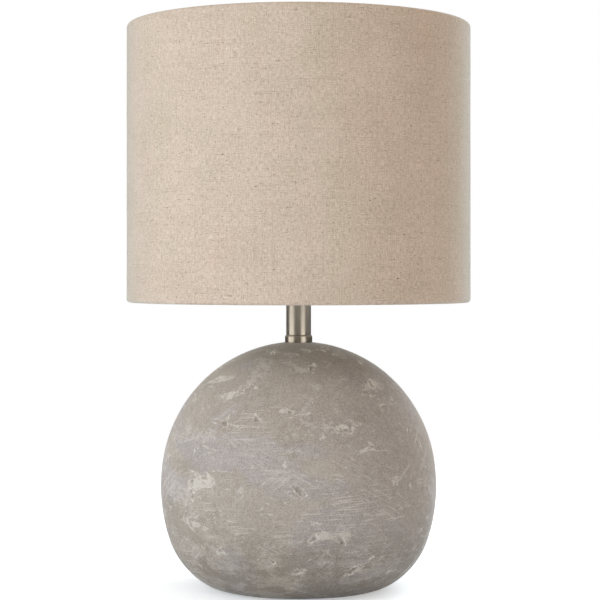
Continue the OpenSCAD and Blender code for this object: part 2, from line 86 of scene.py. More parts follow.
class Finish:
    """A material's node tree, with short calls for the nodes that the finishes share."""

    def __init__(self, name):
        self.material = bpy.data.materials.new(name)
        self.material.use_nodes = True
        self.tree = self.material.node_tree
        self.shader = self.tree.nodes["Principled BSDF"]
        self.object_place = self.node("ShaderNodeTexCoord").outputs["Object"]
        self.colour = None

    def node(self, kind, inputs=None, **settings):
        made = self.tree.nodes.new(kind)
        for key, value in settings.items():
            setattr(made, key, value)
        for key, value in (inputs or {}).items():
            self.feed(made.inputs[key], value)
        return made

    def feed(self, socket, value):
        if isinstance(value, bpy.types.NodeSocket):
            self.tree.links.new(value, socket)
        else:
            socket.default_value = value

    def set(self, **values):
        for key, value in values.items():
            self.feed(self.shader.inputs[key.replace("_", " ")], value)

    def math(self, operation, *values):
        made = self.node("ShaderNodeMath", operation=operation)
        for socket, value in zip(made.inputs, values):
            self.feed(socket, value)
        return made.outputs[0]

    def times(self, first, second):
        return self.math("MULTIPLY", first, second)

    def plus(self, first, second):
        return self.math("ADD", first, second)

    def mark(self, name):
        """A share that the mesh carries at its points."""
        return self.node("ShaderNodeAttribute", attribute_name=name).outputs["Fac"]

    def split(self, place=None):
        return self.node("ShaderNodeSeparateXYZ", {"Vector": place or self.object_place}).outputs

    def join(self, x, y, z):
        return self.node("ShaderNodeCombineXYZ", {"X": x, "Y": y, "Z": z}).outputs[0]

    def stretch(self, place, x, y, z):
        settings = {"Vector": place, "Scale": (x, y, z)}
        return self.node("ShaderNodeMapping", settings).outputs[0]

    def noise(self, place, scale, detail=3.0, roughness=0.5, distortion=0.0):
        settings = {"Vector": place, "Scale": scale, "Detail": detail}
        settings |= {"Roughness": roughness, "Distortion": distortion}
        return self.node("ShaderNodeTexNoise", settings).outputs["Fac"]

    def step(self, value, low, high, to_low=0.0, to_high=1.0):
        """Smooth step of a value from one number to another."""
        settings = {"Value": value, "From Min": low, "From Max": high}
        settings |= {"To Min": to_low, "To Max": to_high}
        made = self.node("ShaderNodeMapRange", settings, interpolation_type="SMOOTHSTEP")
        return made.outputs["Result"]

    def mix(self, share, first, second, blend="MIX"):
        made = self.node("ShaderNodeMix", data_type="RGBA", blend_type=blend)
        self.feed(made.inputs["Factor"], share)
        self.feed(made.inputs[6], first)
        self.feed(made.inputs[7], second)
        return made.outputs[2]

    def tint(self, share, tone):
        """Lays a tone over the colour so far."""
        self.colour = self.mix(share, self.colour, tone)

    def wash(self, value, low, high, strength, tone):
        """Lays a tone over the colour, growing to a strength as a value goes from one number to another."""
        self.tint(self.step(value, low, high, 0.0, strength), tone)

    def bump(self, height, distance, strength):
        inputs = {"Height": height, "Distance": distance, "Strength": strength}
        return self.node("ShaderNodeBump", inputs).outputs["Normal"]

    def from_the_axis(self):
        """Distance from the Z axis."""
        x, y, z = self.split()
        return self.math("SQRT", self.plus(self.times(x, x), self.times(y, y)))

    def round_the_axis(self, radius):
        """Distance round the Z axis at a radius, from the front, and height."""
        x, y, z = self.split()
        angle = self.math("ARCTAN2", x, self.times(y, -1.0))
        return self.times(angle, radius), z


def concrete():
    """Pale taupe cast concrete: lilac-grey clouds, pale splashes, trowel lines, a dark foot and air pits, with
    painted shade on the crown, down the right side, at the foot and inside the pits.
    """
    f = Finish("cast_concrete")
    place = f.object_place
    grain = f.noise(place, 1000, 2, 0.6)
    coarse = f.noise(place, 420, 3, 0.65)
    mottle = f.noise(place, 250, 4, 0.65)
    drawn = f.stretch(place, 1, 1, 2.0)
    cloud = concrete_ground(f, drawn, mottle)
    splash = concrete_splashes(f, drawn, mottle)
    specks = f.times(f.step(coarse, 0.64, 0.7), f.step(cloud, 0.46, 0.56, 0.15, 0.75))
    f.tint(specks, srgb(214, 206, 199))

    f.tint(trowel_lines(f, 42, 820, 2, 17), srgb(214, 206, 199))
    f.tint(trowel_lines(f, 30, 760, 34, 15), srgb(208, 201, 195))
    f.tint(trowel_lines(f, 44, 860, -28, 19), srgb(208, 201, 195))
    concrete_foot_and_painted_shade(f, drawn)

    fine = f.mix(f.step(grain, 0.3, 0.7), srgb(126, 117, 106), srgb(206, 198, 188))
    f.tint(0.27, fine)
    rim = f.times(f.mark("rim"), f.step(coarse, 0.3, 0.5, 0.45, 0.95))
    f.tint(rim, srgb(224, 217, 207))
    # Painted shade inside the air pits, darkest at each pit's middle.
    f.tint(f.times(f.mark("pit"), 0.36), srgb(112, 103, 91))

    height = f.plus(f.times(grain, 0.3), f.times(coarse, 0.5))
    height = f.plus(height, f.times(splash, 0.6))
    f.set(
        Base_Color=f.colour,
        Roughness=f.step(cloud, 0.3, 0.7, 0.88, 0.74),
        Normal=f.bump(height, 0.0004, 0.7),
    )
    f.set(Specular_IOR_Level=0.3, Sheen_Weight=0.4, Sheen_Roughness=0.25)
    return f.material


def concrete_ground(f, drawn, mottle):
    """Taupe ground with lilac-grey clouds, a greyer right side darkened with painted shade, murky patches and
    a fine mottle.
    """
    wide = f.noise(f.object_place, 10, 2, 0.5)
    f.colour = f.mix(f.step(wide, 0.35, 0.65), srgb(164, 153, 142), srgb(178, 167, 155))
    cloud = f.noise(f.stretch(f.object_place, 1, 1, 1.6), 11, 5, 0.62, 0.5)
    f.wash(cloud, 0.5, 0.56, 0.85, srgb(167, 158, 158))
    # Painted shade: the right side, away from the key light, is made greyer and darker.
    painted_shade_right = f.plus(f.split()["X"], f.times(f.noise(drawn, 13, 4, 0.6), 0.12))
    f.wash(painted_shade_right, 0.05, 0.115, 0.68, srgb(152, 145, 142))
    murk = f.noise(drawn, 20, 5, 0.65, 0.3)
    f.wash(murk, 0.54, 0.66, 0.5, srgb(138, 129, 117))
    f.wash(mottle, 0.35, 0.7, 0.28, srgb(190, 182, 174))
    f.wash(mottle, 0.5, 0.3, 0.18, srgb(132, 123, 112))
    return cloud


def concrete_splashes(f, drawn, mottle):
    """Granular bloom, pale splashes that gather round the air pits, and wiped streaks."""
    bloom_field = f.noise(drawn, 17, 7, 0.7, 0.9)
    bloom = f.times(f.step(bloom_field, 0.545, 0.6), f.step(mottle, 0.36, 0.6))
    f.tint(f.times(bloom, 0.6), srgb(205, 198, 193))
    splash_field = f.noise(f.stretch(f.object_place, 1, 1, 2.2), 40, 8, 0.74, 0.7)
    splash_field = f.plus(splash_field, f.times(f.mark("smear"), 0.16))
    splash = f.times(f.step(splash_field, 0.585, 0.622), f.step(mottle, 0.3, 0.52, 0.35, 1.0))
    f.tint(f.times(splash, 0.78), srgb(220, 212, 203))
    wiped_field = f.noise(f.stretch(f.object_place, 1, 1, 2.6), 21, 9, 0.78, 0.4)
    wiped = f.times(f.step(wiped_field, 0.595, 0.625), f.step(mottle, 0.38, 0.55, 0.3, 1.0))
    f.tint(f.times(wiped, 0.5), srgb(212, 205, 198))
    return splash


def concrete_foot_and_painted_shade(f, drawn):
    """Brown mottling low down, which also darkens the foot as painted shade, and painted shade on the crown
    from the drum above, reaching a little further down the right side.
    """
    x, y, z = f.split()
    # Brown mottling low down, which also darkens the foot as painted shade.
    low = f.times(f.step(z, 0.066, 0.026), f.step(f.noise(drawn, 34, 7, 0.74), 0.44, 0.54))
    f.tint(f.times(low, 0.6), srgb(118, 108, 95))
    # Painted shade: the drum's shadow on the crown, darkest near the neck and reaching further down the right
    # side.
    crown = f.plus(z, f.times(f.noise(f.object_place, 26, 4, 0.6), 0.02))
    crown = f.plus(crown, f.times(x, 0.16))
    f.wash(crown, 0.156, 0.188, 0.62, srgb(116, 106, 95))


def trowel_lines(f, along, across, degrees, patches):
    """Share of pale drawn lines at an angle to the level, in scattered groups below the crown."""
    u, z = f.round_the_axis(0.1)
    turn = (0, math.radians(degrees), 0)
    inputs = {"Vector": f.join(u, 0.0, z), "Rotation": turn}
    turned = f.node("ShaderNodeMapping", inputs).outputs[0]
    lines = f.step(f.noise(f.stretch(turned, along, 1, across), 1, 2, 0.5), 0.54, 0.65)
    inputs = {0: f.object_place, 1: (degrees, 0, 0)}
    offset = f.node("ShaderNodeVectorMath", inputs, operation="ADD").outputs[0]
    groups = f.step(f.noise(f.stretch(offset, 1, 1, 1.6), patches, 3, 0.6), 0.52, 0.61, 0.0, 0.62)
    return f.times(f.times(lines, groups), f.step(z, 0.155, 0.13))


def linen(radius):
    """Natural linen: a fine plain weave of uneven yarns, with slubs and flecks, laid out round the drum."""
    f = Finish("natural_linen")
    u, z = f.round_the_axis(radius)
    cloth = f.join(u, 0.0, z)

    def yarn(along, up, detail, roughness):
        """Noise with so many cells to the metre round the drum and up it."""
        return f.noise(f.stretch(cloth, along, 1, up), 1, detail, roughness)

    warp_pitch = 0.00058
    weft_pitch = 0.00062
    warp_wave = f.math("SINE", f.times(u, math.pi / warp_pitch))
    weft_wave = f.math("SINE", f.times(z, math.pi / weft_pitch))
    weave = f.math("ABSOLUTE", f.times(warp_wave, weft_wave))
    weft = yarn(330, 1500, 2, 0.6)
    warp = yarn(1500, 220, 2, 0.6)
    fuzz = yarn(1300, 1300, 1, 0.5)
    streak = yarn(700, 14, 2, 0.5)
    bar = yarn(26, 900, 2, 0.5)
    patch = yarn(26, 34, 3, 0.6)
    hue = yarn(24, 17, 3, 0.6)
    dash = yarn(95, 1150, 1, 0.5)

    pale = srgb(247, 234, 219)
    deep = srgb(146, 125, 106)
    f.colour = f.mix(f.step(patch, 0.35, 0.65), srgb(207, 190, 172), srgb(215, 197, 180))
    f.wash(hue, 0.5, 0.7, 0.36, srgb(222, 193, 179))
    f.wash(hue, 0.5, 0.3, 0.42, srgb(202, 192, 166))
    f.wash(weft, 0.5, 0.72, 0.44, deep)
    f.wash(weft, 0.5, 0.28, 0.38, pale)
    f.wash(warp, 0.5, 0.72, 0.4, deep)
    f.wash(warp, 0.5, 0.28, 0.36, pale)
    f.wash(fuzz, 0.5, 0.75, 0.3, deep)
    f.wash(fuzz, 0.5, 0.25, 0.28, pale)
    f.wash(streak, 0.52, 0.7, 0.12, deep)
    f.wash(bar, 0.56, 0.74, 0.22, deep)
    f.wash(bar, 0.42, 0.26, 0.15, pale)
    f.wash(dash, 0.66, 0.76, 0.5, srgb(150, 122, 94))
    f.wash(weave, 0.5, 0.0, 0.25, deep)
    fleck_field = yarn(330, 1000, 1, 0.5)
    fleck_field = f.plus(fleck_field, f.times(bar, 0.25))
    fleck = f.step(fleck_field, 0.835, 0.885)
    f.tint(f.times(fleck, 0.85), srgb(92, 70, 50))
    slub = f.step(yarn(85, 800, 1, 0.5), 0.78, 0.83)
    f.tint(f.times(slub, 0.75), srgb(246, 237, 222))

    yarns = f.plus(f.times(weft, 0.8), f.times(warp, 0.8))
    height = f.plus(f.times(weave, 0.5), yarns)
    height = f.plus(height, f.times(slub, 0.8))
    f.set(
        Base_Color=f.colour,
        Normal=f.bump(height, 0.00025, 0.6),
        Roughness=f.step(weft, 0.3, 0.7, 0.95, 0.85),
    )
    f.set(Specular_IOR_Level=0.2, Sheen_Weight=1.0, Sheen_Roughness=0.25, Sheen_Tint=(0.85, 1, 1, 1))
    return f.material


def turned_metal(name, light, dark, roughness):
    """Metal brushed round the Z axis: fine rings in its height, tone and gloss, and long glints."""
    f = Finish(name)
    fineness = 5200
    rings = f.join(f.times(f.from_the_axis(), fineness), f.times(f.split()["Z"], fineness), 0.0)
    brushing = f.noise(rings, 1, 3, 0.7)
    smudge = f.noise(f.object_place, 60, 3, 0.5)
    gloss = f.plus(f.times(brushing, 0.6), f.times(smudge, 0.4))
    f.set(
        Base_Color=f.mix(brushing, dark, light),
        Metallic=1.0,
        Roughness=f.step(gloss, 0.35, 0.65, roughness - 0.05, roughness + 0.05),
        Normal=f.bump(brushing, 0.00001, 0.5),
        Tangent=f.node("ShaderNodeTangent", direction_type="RADIAL", axis="Z").outputs[0],
    )
    f.set(Anisotropic=0.85, Anisotropic_Rotation=0.25)
    return f.material


def plated_metal(name, light, dark, roughness):
    """Plated or drawn metal with faint handling marks."""
    f = Finish(name)
    marks = f.noise(f.object_place, 180, 4, 0.65)
    fine = f.noise(f.object_place, 2600, 2, 0.6)
    f.set(
        Base_Color=f.mix(f.step(marks, 0.35, 0.65), dark, light),
        Metallic=1.0,
        Roughness=f.step(marks, 0.3, 0.7, roughness - 0.06, roughness + 0.08),
        Normal=f.bump(fine, 0.00002, 0.35),
    )
    return f.material


def moulded(name, light, dark, roughness, grain=1400, depth=0.00002):
    """Moulded plastic with a fine skin texture."""
    f = Finish(name)
    skin = f.noise(f.object_place, grain, 2, 0.5)
    tone = f.noise(f.object_place, 70, 3, 0.5)
    f.set(
        Base_Color=f.mix(f.step(tone, 0.3, 0.7), dark, light),
        Roughness=f.step(tone, 0.3, 0.7, roughness - 0.05, roughness + 0.06),
        Normal=f.bump(skin, depth, 0.4),
    )
    return f.material


def felt():
    """Dark pressed felt."""
    f = Finish("pressed_felt")
    fibre = f.noise(f.object_place, 900, 5, 0.75, 1.5)
    f.set(
        Base_Color=f.mix(f.step(fibre, 0.3, 0.7), srgb(30, 28, 26), srgb(66, 62, 57)),
        Roughness=f.step(fibre, 0.3, 0.7, 0.92, 1.0),
        Normal=f.bump(fibre, 0.0003, 0.7),
    )
    f.set(Sheen_Weight=0.4, Sheen_Roughness=0.6)
    return f.material


def styrene():
    """White styrene sheet with a faint leathery grain."""
    f = Finish("white_styrene")
    u, z = f.round_the_axis(0.126)
    grain = f.noise(f.join(u, 0.0, z), 520, 3, 0.6)
    tone = f.noise(f.object_place, 14, 3, 0.5)
    f.set(
        Base_Color=f.mix(f.step(tone, 0.3, 0.7), srgb(238, 235, 227), srgb(247, 245, 239)),
        Roughness=f.step(grain, 0.3, 0.7, 0.5, 0.62),
        Normal=f.bump(grain, 0.00005, 0.5),
    )
    return f.material


FINISHES = {
    "concrete": concrete(),
    "felt": felt(),
    "black_plastic": moulded("black_bush", srgb(38, 37, 36), srgb(26, 25, 25), 0.55),
    "zinc_steel": plated_metal("zinc_plate", srgb(190, 192, 196), srgb(158, 160, 164), 0.38),
    "brushed_nickel": turned_metal("brushed_nickel", srgb(206, 198, 186), srgb(176, 167, 154), 0.38),
    "harp_nickel": plated_metal("bright_nickel", srgb(214, 210, 202), srgb(190, 185, 176), 0.2),
    "brass": plated_metal("satin_brass", srgb(214, 180, 108), srgb(186, 150, 84), 0.3),
    "fibre_board": moulded("fibre_board", srgb(158, 137, 108), srgb(132, 112, 86), 0.85, 700, 0.0001),
    "phenolic": moulded("black_phenolic", srgb(30, 27, 26), srgb(18, 16, 16), 0.3),
    "bulb_metal": turned_metal("bulb_aluminium", srgb(214, 214, 214), srgb(186, 186, 188), 0.32),
    "black_glass": moulded("black_glass", srgb(24, 24, 27), srgb(14, 14, 16), 0.12),
    "white_plastic": moulded("bulb_housing_white", srgb(238, 238, 235), srgb(230, 230, 226), 0.42),
    "led_yellow": moulded("phosphor", srgb(246, 220, 120), srgb(232, 200, 96), 0.5),
    "opal_diffuser": moulded("opal_diffuser", srgb(246, 244, 238), srgb(240, 237, 229), 0.34),
    "white_liner": styrene(),
    "linen": linen(0.127),
}

# Shapes

MERGE = 0.000001
SLIVER = 0.000002


def show(thing):
    """Links a thing to the scene."""
    bpy.context.scene.collection.objects.link(thing)
    return thing


def smooth(mesh, sharp):
    """Smooth shading, with edges sharp from an angle in degrees."""
    mesh.polygons.foreach_set("use_smooth", [True] * len(mesh.polygons))
    mesh.set_sharp_from_angle(angle=math.radians(sharp))


def stands_for(node, name, mesh, sharp=35):
    """Puts in a mesh as the piece that is seen instead of a CAD node, on its body and in its finish."""
    piece = show(bpy.data.objects.new(name, mesh))
    smooth(mesh, sharp)
    mesh.materials.append(FINISHES[SLOTS[node]])
    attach(piece, BODIES[node])
    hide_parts(node)
    return piece


def arc(centre, radius, first, last, steps):
    """Points of an arc, between two angles in degrees."""
    x, y = centre
    angles = np.radians(np.linspace(first, last, steps + 1))
    return [(x + radius * math.cos(a), y + radius * math.sin(a)) for a in angles]


@contextmanager
def edited(mesh):
    """A mesh opened for editing and written back at the end."""
    work = bmesh.new()
    work.from_mesh(mesh)
    yield work
    work.to_mesh(mesh)
    work.free()


def ring_points(radii, heights, angles):
    """Grid of points round the Z axis: a row for each radius and height, a column for each angle."""
    radii = np.asarray(radii)
    heights = np.broadcast_to(np.asarray(heights)[:, None], (len(radii), len(angles)))
    radii = radii if radii.ndim == 2 else radii[:, None]
    return np.stack([radii * np.cos(angles), radii * np.sin(angles), heights], axis=-1)


def grid_mesh(name, points, wrap_rows, wrap_columns):
    """Mesh of quads over a grid of points, joined up across its ends where asked."""
    rows, columns = points.shape[:2]
    index = np.arange(rows * columns).reshape(rows, columns)
    a = np.vstack([index, index[:1]]) if wrap_rows else index
    a = np.hstack([a, a[:, :1]]) if wrap_columns else a
    quads = np.stack([a[:-1, :-1], a[:-1, 1:], a[1:, 1:], a[1:, :-1]], axis=-1).reshape(-1, 4)
    mesh = bpy.data.meshes.new(name)
    mesh.from_pydata(points.reshape(-1, 3).tolist(), [], quads.tolist())
    with edited(mesh) as work:
        bmesh.ops.remove_doubles(work, verts=work.verts, dist=MERGE)
        bmesh.ops.recalc_face_normals(work, faces=work.faces)
    return mesh


def lathe(name, outline, segments, closed=False):
    """Mesh made by turning an outline of (radius, height) points round the Z axis."""
    outline = np.array(outline)
    angles = np.linspace(0, 2 * math.pi, segments, endpoint=False)
    return grid_mesh(name, ring_points(outline[:, 0], outline[:, 1], angles), closed, True)


def swept(name, path, radii, sides=20):
    """Mesh of a round wire along a path, with its radius at each point and flat ends."""
    path = [Vector(p) for p in path]
    rings = []
    side = None
    for i, point in enumerate(path):
        along = (path[min(i + 1, len(path) - 1)] - path[max(i - 1, 0)]).normalized()
        side = side or along.orthogonal()
        side = (side - along * side.dot(along)).normalized()
        other = along.cross(side)
        angles = [2 * math.pi * k / sides for k in range(sides)]
        rings.append([point + radii[i] * (math.cos(a) * side + math.sin(a) * other) for a in angles])
    start, end = [path[0]] * sides, [path[-1]] * sides
    points = np.array([start, *rings, end], dtype=float)
    return grid_mesh(name, points, False, True)


def loose(name, mesh):
    """A closed mesh in the scene that a cut or a join uses up."""
    with edited(mesh) as work:
        bmesh.ops.recalc_face_normals(work, faces=work.faces)
    return show(bpy.data.objects.new(name, mesh))


def fan_out(work):
    """Splits faces of more than four corners into even triangles."""
    faces = [face for face in work.faces if len(face.verts) > 4]
    bmesh.ops.triangulate(work, faces=faces, ngon_method="BEAUTY")


def combine(piece, other, operation):
    """Changes a piece by another shape, which is used up, and clears slivers from the result."""
    change = piece.modifiers.new("solid", "BOOLEAN")
    change.object = other
    change.operation = operation
    change.solver = "EXACT"
    shown = piece.evaluated_get(bpy.context.evaluated_depsgraph_get())
    mesh = bpy.data.meshes.new_from_object(shown)
    piece.modifiers.clear()
    piece.data = mesh
    bpy.data.objects.remove(other)
    with edited(mesh) as work:
        bmesh.ops.remove_doubles(work, verts=work.verts, dist=SLIVER)
        bmesh.ops.dissolve_degenerate(work, dist=SLIVER, edges=work.edges)
        fan_out(work)


def cut(piece, cutter):
    """Takes one shape out of another."""
    combine(piece, cutter, "DIFFERENCE")


def laid_along_y(x, z):
    """Turns a piece made round the Z axis so that it lies along the Y axis, at a place."""
    return Matrix.Translation((x, 0, z)) @ Matrix.Rotation(-math.pi / 2, 4, "X")


def rod_along_y(name, radius, first, last, x, z):
    """Round rod along Y, for cutting."""
    mesh = lathe(name, [(0, first), (radius, first), (radius, last), (0, last)], 48)
    mesh.transform(laid_along_y(x, z))
    return loose(name, mesh)


# Ball

CROWN_RADIUS = 0.1012
SIDE_RADIUS = 0.122
HAUNCH_RADIUS = 0.0585
FOOT_RADIUS = 0.0265
CROWN_ANGLE = 15
HAUNCH_ANGLE = 18.5
FOOT_ANGLE = 58
WALL = 0.015
HAND_HOLE_RADIUS = 0.036
RIM_WIDTH = 0.00045

Pit = namedtuple("Pit", "place size length turn bend")


def ball_arcs():
    """Centres of the ball's four arcs as (radius, height), from the crown down."""

    def step(centre, change, angle, up):
        radians = math.radians(angle)
        return (centre[0] + change * math.cos(radians), centre[1] + up * change * math.sin(radians))

    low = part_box("concrete_base")[0][2]
    foot_height = low + FOOT_RADIUS
    haunch_height = foot_height + (HAUNCH_RADIUS - FOOT_RADIUS) * math.sin(math.radians(FOOT_ANGLE))
    side_height = haunch_height + (SIDE_RADIUS - HAUNCH_RADIUS) * math.sin(math.radians(HAUNCH_ANGLE))
    crown_height = side_height + (SIDE_RADIUS - CROWN_RADIUS) * math.sin(math.radians(CROWN_ANGLE))
    crown = (0.0, crown_height)
    side = step(crown, CROWN_RADIUS - SIDE_RADIUS, CROWN_ANGLE, 1)
    haunch = step(side, SIDE_RADIUS - HAUNCH_RADIUS, HAUNCH_ANGLE, -1)
    foot = step(haunch, HAUNCH_RADIUS - FOOT_RADIUS, FOOT_ANGLE, -1)
    return crown, side, haunch, foot


def ball_skin(inset, crown_from, fineness):
    """Outline of the ball set in by a distance, from an angle at the crown to the underside."""
    crown, side, haunch, foot = ball_arcs()
    spans = [
        (crown, CROWN_RADIUS, crown_from, CROWN_ANGLE),
        (side, SIDE_RADIUS, CROWN_ANGLE, -HAUNCH_ANGLE),
        (haunch, HAUNCH_RADIUS, -HAUNCH_ANGLE, -FOOT_ANGLE),
        (foot, FOOT_RADIUS, -FOOT_ANGLE, -90),
    ]
    points = []
    for centre, radius, first, last in spans:
        length = (radius - inset) * math.radians(abs(last - first))
        points += arc(centre, radius - inset, first, last, max(2, round(length / fineness)))[:-1]
    return points + [(foot[0], foot[1] - FOOT_RADIUS + inset)]


def outlet_cutter():
    """The cord outlet's hole with the spot face that its grommet sits on."""
    low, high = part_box("cord_grommet")
    hole = 0.005
    spot = 0.0066
    start = 0.06
    face = 0.0902
    end = 0.12
    outline = [(0, start), (hole, start), (hole, face), (spot, face), (spot, end), (0, end)]
    mesh = lathe("outlet_cutter", outline, 64)
    mesh.transform(laid_along_y(0, (low[2] + high[2]) / 2))
    return loose("outlet_cutter", mesh)


def pit_places(count, seed):
    """Air pits scattered on the ball's skin, most of them small."""
    draw = random.Random(seed)
    outline = ball_skin(0, 80, 0.002)
    sizes = (0.0006, 0.0008, 0.0010, 0.0012, 0.0016, 0.0020)
    spacing = 0.009
    above_the_foot = 0.004
    pits = []
    while len(pits) < count:
        radius, height = outline[int(draw.random() ** 0.85 * (len(outline) - 1))]
        angle = draw.uniform(0, 2 * math.pi)
        place = Vector((radius * math.cos(angle), radius * math.sin(angle), height))
        size = draw.choice(sizes)
        shape = (draw.uniform(1, 2.6), draw.uniform(0, math.pi), draw.uniform(-0.4, 0.4))
        if height > above_the_foot and all((place - pit.place).length > spacing for pit in pits):
            pits.append(Pit(place, size, *shape))
    return pits


def pit_reach(pit):
    """How far from its middle a pit and its rim go."""
    return pit.size * (pit.length + 1.0) + 0.0012


def near_points(work, pits, reach):
    """For each pit, the vertices within its reach, as (vertex, place) pairs."""
    work.verts.ensure_lookup_table()
    tree = kdtree.KDTree(len(work.verts))
    for i, vertex in enumerate(work.verts):
        tree.insert(vertex.co, i)
    tree.balance()
    near = [tree.find_range(pit.place, reach(pit)) for pit in pits]
    return [[(work.verts[i], place) for place, i, away in found] for found in near]


def sink_pit(number, pit, found, pit_shade_mark, rim_mark):
    """Marks one pit, for the painted shade inside it, and its broken pale rim, and gives the moves that sink
    it in.
    """
    outward = Vector((pit.place.x, pit.place.y, pit.place.z - 0.08)).normalized()
    level = outward.cross(Vector((0, 0, 1))).normalized()
    along = level * math.cos(pit.turn) + outward.cross(level) * math.sin(pit.turn)
    across = outward.cross(along)
    moves = []
    for vertex, point in found:
        away = (point - pit.place) / pit.size
        x = away.dot(along) / pit.length
        y = away.dot(across) + pit.bend * x * x * pit.length
        wobble = 1 + 0.7 * noise.noise(point * 520 + Vector((number, 0, 0)))
        share = math.hypot(x, y) / wobble
        vertex[pit_shade_mark] = max(vertex[pit_shade_mark], min(1.0, max(0.0, 1.3 - 1.3 * share)))
        broken = 0.55 + 0.9 * noise.noise(point * 260 + Vector((0, number, 0)))
        edge = math.exp(-(((share - 1.12) * pit.size / RIM_WIDTH) ** 2)) * min(1.0, max(0.0, broken))
        vertex[rim_mark] = max(vertex[rim_mark], edge)
        depth = 0.55 * pit.size * max(0.0, 1 - share**2) ** 0.7
        moves.append((vertex, -vertex.normal * depth))
    return moves


def mark_smears(work, pits, smear_mark):
    """Marks a level smear beside each pit, for the finish."""
    draw = random.Random(11)
    smears = [(draw.uniform(-4, 4), draw.uniform(0.2, 1)) for pit in pits]
    near = near_points(work, pits, lambda pit: 13 * pit.size)
    for pit, (shift, strength), found in zip(pits, smears, near):
        level = Vector((-pit.place.y, pit.place.x, 0)).normalized()
        for vertex, point in found:
            away = (point - pit.place) / pit.size
            x = away.dot(level) - shift
            share = strength * math.exp(-((x / 6) ** 2) - (away.z / 2.6) ** 2)
            vertex[smear_mark] = max(vertex[smear_mark], share)


def press_pits(mesh, pits):
    """Presses air pits into a mesh, with finer faces round each, and marks them for the finish, which paints
    shade inside them.
    """
    margin = 0.0018
    with edited(mesh) as work:
        near = near_points(work, pits, lambda pit: pit_reach(pit) + margin)
        chosen = {vertex for found in near for vertex, place in found}
        edges = [e for e in work.edges if e.verts[0] in chosen and e.verts[1] in chosen]
        bmesh.ops.subdivide_edges(work, edges=edges, cuts=4, use_grid_fill=True)
        fan_out(work)
        work.normal_update()
        marks = [work.verts.layers.float.new(name) for name in ("pit", "rim", "smear")]
        moves = []
        for number, (pit, found) in enumerate(zip(pits, near_points(work, pits, pit_reach))):
            moves += sink_pit(number, pit, found, *marks[:2])
        mark_smears(work, pits, marks[2])
        for vertex, move in moves:
            vertex.co += move


def weather(mesh, reach):
    """Gives the ball's skin the slight unevenness of a casting."""
    normals = [vertex.normal.copy() for vertex in mesh.vertices]
    for vertex, normal in zip(mesh.vertices, normals):
        place = vertex.co.copy()
        if math.hypot(place.x, place.y) > reach:
            lift = 0.00018 * noise.noise(place * 26) + 0.00006 * noise.noise(place * 120)
            vertex.co = place + normal * lift


def make_ball():
    """The hollow ball, with its cord outlet, an uneven skin and air pits."""
    low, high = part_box("concrete_base")
    seat = high[2]
    pipe = 0.0053
    felt_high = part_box("base_felt_pad")[1]
    recess = felt_high[0] + 0.0003
    ceiling = felt_high[2] + 0.00005
    boss_radius = 0.018
    boss_height = seat - 0.022
    crown = ball_arcs()[0]
    start = math.degrees(math.asin((seat - crown[1]) / CROWN_RADIUS))
    outer = ball_skin(0, start, 0.0023)
    inner = ball_skin(WALL, 78, 0.012)
    inner = [p for p in inner if p[0] > HAND_HOLE_RADIUS]
    outline = [(pipe, seat), (outer[0][0] * 0.9, seat - 0.00002)] + outer
    outline += [(recess, low[2]), (recess, ceiling), (HAND_HOLE_RADIUS, ceiling)]
    outline += [(HAND_HOLE_RADIUS, low[2] + WALL)]
    outline += inner[::-1]
    outline += [(boss_radius, seat - WALL), (boss_radius, boss_height), (pipe, boss_height)]
    mesh = lathe("ball", outline, 256, closed=True)
    ball = stands_for("concrete_base", "concrete_ball", mesh)
    cut(ball, outlet_cutter())
    weather(ball.data, boss_radius)
    press_pits(ball.data, pit_places(96, 7))
    smooth(ball.data, 50)


# Drum

LINEN = 0.0006
ROLL_ANGLE = 160
OVERLAP = 0.012
RIPPLE = 0.00012


def drum_section():
    """Middle line of the linen as (radius, height), from its roll round one ring to the other."""
    low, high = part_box("shade_fabric")
    ring_low, ring_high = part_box("shade_top_ring")
    ring_height = (ring_low[2] + ring_high[2]) / 2
    roll = high[2] - ring_height
    ring_radius = (high[0] - low[0]) / 2 - roll
    middle = roll - LINEN / 2
    bottom = (ring_radius, low[2] + roll)
    top = (ring_radius, ring_height)
    section = arc(bottom, middle, -ROLL_ANGLE, 0, 14)
    section += [(ring_radius + middle, z) for z in np.linspace(bottom[1], top[1], 45)[1:-1]]
    section += arc(top, middle, 0, ROLL_ANGLE, 14)
    return np.array(section)


def make_drum():
    """The linen: one strip, rolled over both rings and lapped down the back."""
    low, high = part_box("shade_fabric")
    drum_radius = (high[0] - low[0]) / 2
    section = drum_section()
    along = np.gradient(section, axis=0)
    outward = np.stack([along[:, 1], -along[:, 0]], axis=1)
    outward /= np.linalg.norm(outward, axis=1)[:, None]

    lap = OVERLAP / drum_radius
    seam = math.pi / 2 - lap / 2
    ramp = 0.012
    angles = seam + np.linspace(0, 2 * math.pi + lap, 400)
    rise = np.clip((angles - (seam + 2 * math.pi - ramp)) / ramp, 0, 1)
    rise = rise * rise * (3 - 2 * rise) * (LINEN + 0.00005)

    def face(offset):
        """Grid of points over one face of the strip."""
        grid = []
        for angle, lift in zip(angles, rise):
            turned = seam + (angle - seam) % (2 * math.pi)
            line = []
            for r, z in section + outward * (offset + lift):
                place = Vector((8 * math.cos(turned), 8 * math.sin(turned), 22 * z))
                r += RIPPLE * noise.noise(place)
                line.append((r * math.cos(angle), r * math.sin(angle), z))
            grid.append(line)
        return np.array(grid)

    strip = np.concatenate([face(LINEN / 2), face(-LINEN / 2)[:, ::-1]], axis=1)
    ends = (strip + strip[:, ::-1]) / 2
    mesh = grid_mesh("linen", np.concatenate([ends[:1], strip, ends[-1:]]), False, True)
    drum = stands_for("shade_fabric", "linen_drum", mesh, 60)


